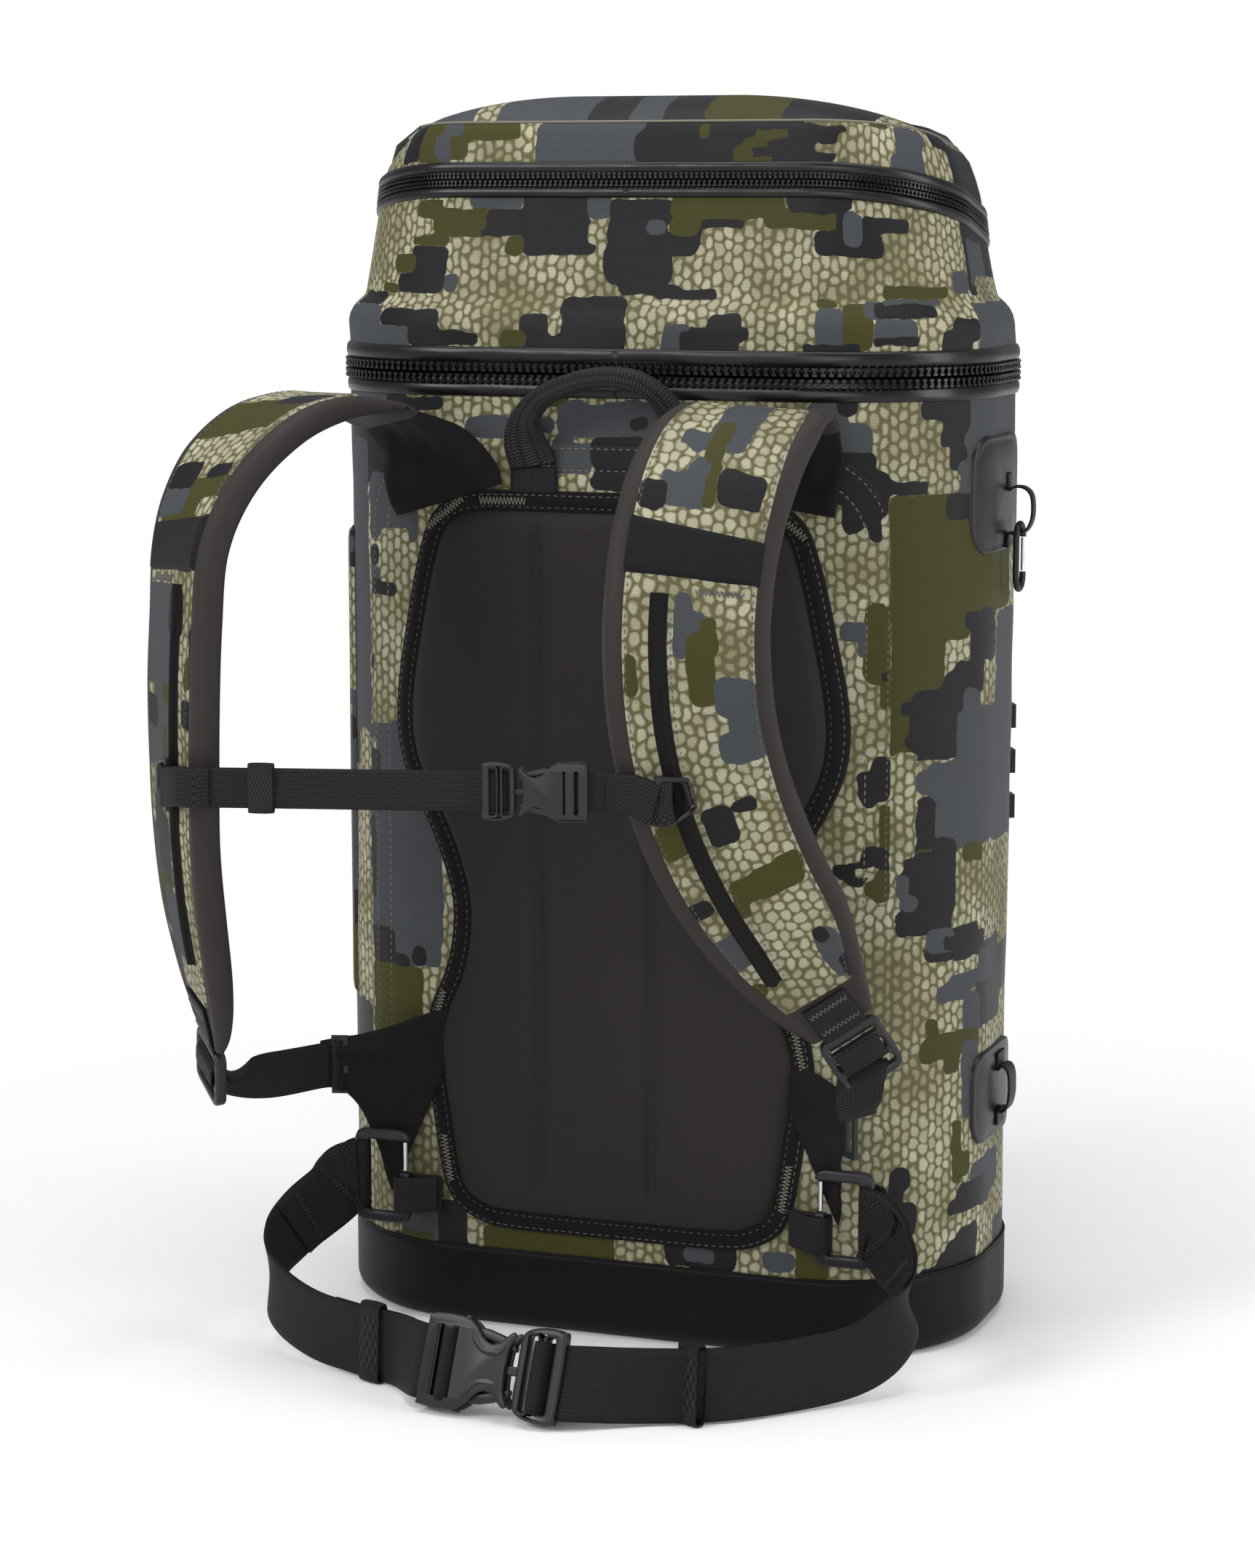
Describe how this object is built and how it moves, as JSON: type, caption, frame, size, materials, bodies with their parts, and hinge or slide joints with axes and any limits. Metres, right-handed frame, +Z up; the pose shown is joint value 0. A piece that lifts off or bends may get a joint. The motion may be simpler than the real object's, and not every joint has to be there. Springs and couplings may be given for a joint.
{
  "type": "tackle backpack",
  "caption": "Hard-floored zip-lid backpack for fishing tackle with a top compartment, padded shoulder straps, sternum strap and hip belt.",
  "frame": {"origin": "middle of the base's underside, on the floor", "axes": "+Z up, -Y towards the harness side, +X to the right seen from the harness side"},
  "size_m": [0.4045, 0.3981, 0.653],
  "materials": {
    "camo_fabric": "woven laminate, semi-gloss",
    "foam_grey": "smooth moulded foam",
    "webbing": "ribbed webbing",
    "zip": "moulded, glossy",
    "buckle_plastic": "fine moulded texture",
    "base_moulding": "matte moulded",
    "dark_fabric": "plain weave",
    "liner": "coated, light grey",
    "board": "plain",
    "wire": "drawn wire",
    "binding": "binding tape"
  },
  "bodies": {
    "pack": {"base_floor": "base_moulding", "base_skirt": "base_moulding", "body_shell": "camo_fabric", "inner_liner": "liner", "stiffener_boards": "board", "back_overlay": "camo_fabric", "back_pad": "foam_grey", "back_pad_binding": "binding", "main_zip_lower": "zip", "lid_hinge_fabric": "dark_fabric", "side_patches": "camo_fabric", "side_loops": "buckle_plastic", "side_panel_left": "camo_fabric", "front_daisy": "dark_fabric", "handle_tabs": "webbing", "strap_roots": "dark_fabric", "wings": "dark_fabric", "wing_rings": "buckle_plastic", "adjuster_webbing": "webbing", "hip_hooks": "buckle_plastic", "hip_anchors": "webbing", "hip_belt_left": "webbing", "hip_belt_right": "webbing", "hip_buckle_female": "buckle_plastic", "hip_keeper_left": "webbing", "hip_keeper_right": "webbing"},
    "lid": {"lid_shell": "camo_fabric", "lid_floor": "dark_fabric", "main_zip_upper": "zip", "cap_zip_lower": "zip", "cap_hinge_fabric": "dark_fabric"},
    "cap": {"cap_shell": "camo_fabric", "cap_zip_upper": "zip"},
    "main_slider": {"main_slider": "buckle_plastic"},
    "main_pull": {"main_pull": "buckle_plastic"},
    "cap_slider": {"cap_slider": "buckle_plastic"},
    "cap_pull": {"cap_pull": "buckle_plastic"},
    "handle": {"grab_handle": "webbing"},
    "harness": {"shoulder_pads": "foam_grey", "strap_faces": "camo_fabric", "strap_bands": "webbing", "strap_rails": "buckle_plastic"},
    "sternum": {"sternum_clips": "buckle_plastic", "sternum_buckle_female": "buckle_plastic", "sternum_webbing_right": "webbing", "sternum_webbing_left": "webbing", "sternum_keeper": "webbing"},
    "sternum_male": {"sternum_buckle_male": "buckle_plastic"},
    "sternum_prong_upper": {"sternum_prong_upper": "buckle_plastic"},
    "sternum_prong_lower": {"sternum_prong_lower": "buckle_plastic"},
    "adjuster_left": {"adjuster_left": "buckle_plastic"},
    "adjuster_right": {"adjuster_right": "buckle_plastic"},
    "hip_male": {"hip_buckle_male": "buckle_plastic"},
    "hip_prong_upper": {"hip_prong_upper": "buckle_plastic"},
    "hip_prong_lower": {"hip_prong_lower": "buckle_plastic"},
    "hip_gate_left": {"hip_gate_left": "wire"},
    "hip_gate_right": {"hip_gate_right": "wire"},
    "gear_clip": {"gear_clip": "buckle_plastic"},
    "gear_gate": {"gear_gate": "wire"}
  },
  "joints": [
    {"name": "lid_open", "type": "hinge", "parent": "pack", "child": "lid", "pos_m": [0, 0.1032, 0.518], "axis": [-1, 0, 0], "range_deg": [0, 100], "deforming": ["lid_hinge_fabric"]},
    {"name": "cap_open", "type": "hinge", "parent": "lid", "child": "cap", "pos_m": [0, 0.0864, 0.5807], "axis": [-1, 0, 0], "range_deg": [0, 95], "deforming": ["cap_hinge_fabric"]},
    {"name": "main_slider_travel", "type": "hinge", "parent": "pack", "child": "main_slider", "pos_m": [-0.095, 0.014, 0.518], "axis": [0, 0, 1], "range_deg": [0, 28]},
    {"name": "main_pull_swing", "type": "hinge", "parent": "main_slider", "child": "main_pull", "pos_m": [-0.17675, 0.0612, 0.518], "axis": [0.5, 0.866, 0], "range_deg": [0, 100]},
    {"name": "cap_slider_travel", "type": "slide", "parent": "lid", "child": "cap_slider", "axis": [0, 0.9756, -0.2195], "range_m": [-0.008, 0.01]},
    {"name": "cap_pull_swing", "type": "hinge", "parent": "cap_slider", "child": "cap_pull", "pos_m": [-0.1728, 0, 0.59944], "axis": [0, 0.9756, -0.2195], "range_deg": [0, 100]},
    {"name": "handle_fold", "type": "hinge", "parent": "pack", "child": "handle", "pos_m": [-0.0045, -0.1052, 0.4696], "axis": [1, 0, 0], "range_deg": [0, 50]},
    {"name": "harness_swing", "type": "hinge", "parent": "pack", "child": "harness", "pos_m": [-0.01, -0.124, 0.4925], "axis": [-1, 0, 0], "range_deg": [0, 12], "deforming": ["adjuster_webbing", "strap_roots"]},
    {"name": "sternum_height", "type": "slide", "parent": "harness", "child": "sternum", "axis": [-0.0601, -0.2503, 0.9663], "range_m": [-0.003, 0.006]},
    {"name": "sternum_release", "type": "slide", "parent": "sternum", "child": "sternum_male", "axis": [-0.9727, -0.2323, 0], "range_m": [0, 0.02], "deforming": ["sternum_webbing_left"]},
    {"name": "sternum_prong_upper_press", "type": "hinge", "parent": "sternum_male", "child": "sternum_prong_upper", "pos_m": [0.00641, -0.25525, 0.3317], "axis": [-0.2323, 0.9727, 0], "range_deg": [0, 8], "stiffness_Nm_per_rad": 0.02},
    {"name": "sternum_prong_lower_press", "type": "hinge", "parent": "sternum_male", "child": "sternum_prong_lower", "pos_m": [0.00641, -0.25525, 0.3143], "axis": [0.2323, -0.9727, 0], "range_deg": [0, 8], "stiffness_Nm_per_rad": 0.02},
    {"name": "adjuster_left_tilt", "type": "hinge", "parent": "harness", "child": "adjuster_left", "pos_m": [-0.18636, -0.20743, 0.17455], "axis": [-0.6462, 0.6414, 0.4135], "range_deg": [0, 30], "deforming": ["adjuster_webbing"]},
    {"name": "adjuster_right_tilt", "type": "hinge", "parent": "harness", "child": "adjuster_right", "pos_m": [0.13666, -0.13539, 0.18968], "axis": [-0.7839, -0.3137, -0.5357], "range_deg": [0, 30], "deforming": ["adjuster_webbing"]},
    {"name": "hip_release", "type": "slide", "parent": "pack", "child": "hip_male", "axis": [0.9927, -0.1203, 0], "range_m": [0, 0.034], "deforming": ["hip_belt_right"]},
    {"name": "hip_prong_upper_press", "type": "hinge", "parent": "hip_male", "child": "hip_prong_upper", "pos_m": [-0.00176, -0.23828, 0.03804], "axis": [-0.1123, -0.9267, 0.3587], "range_deg": [0, 8], "stiffness_Nm_per_rad": 0.05},
    {"name": "hip_prong_lower_press", "type": "hinge", "parent": "hip_male", "child": "hip_prong_lower", "pos_m": [-0.00301, -0.24854, 0.01116], "axis": [0.1123, 0.9267, -0.3587], "range_deg": [0, 8], "stiffness_Nm_per_rad": 0.05},
    {"name": "hip_gate_left_press", "type": "hinge", "parent": "pack", "child": "hip_gate_left", "pos_m": [-0.118, -0.11225, 0.0865], "axis": [0, -1, 0], "range_deg": [0, 22], "stiffness_Nm_per_rad": 0.003},
    {"name": "hip_gate_right_press", "type": "hinge", "parent": "pack", "child": "hip_gate_right", "pos_m": [0.118, -0.11225, 0.0865], "axis": [0, 1, 0], "range_deg": [0, 22], "stiffness_Nm_per_rad": 0.003},
    {"name": "gear_clip_swing", "type": "hinge", "parent": "pack", "child": "gear_clip", "pos_m": [0.1898, 0.004, 0.43325], "axis": [0, -1, 0], "range_deg": [0, 30]},
    {"name": "gear_gate_press", "type": "hinge", "parent": "gear_clip", "child": "gear_gate", "pos_m": [0.1898, 0.0113, 0.4133], "axis": [1, 0, 0], "range_deg": [0, 20], "stiffness_Nm_per_rad": 0.002}
  ]
}
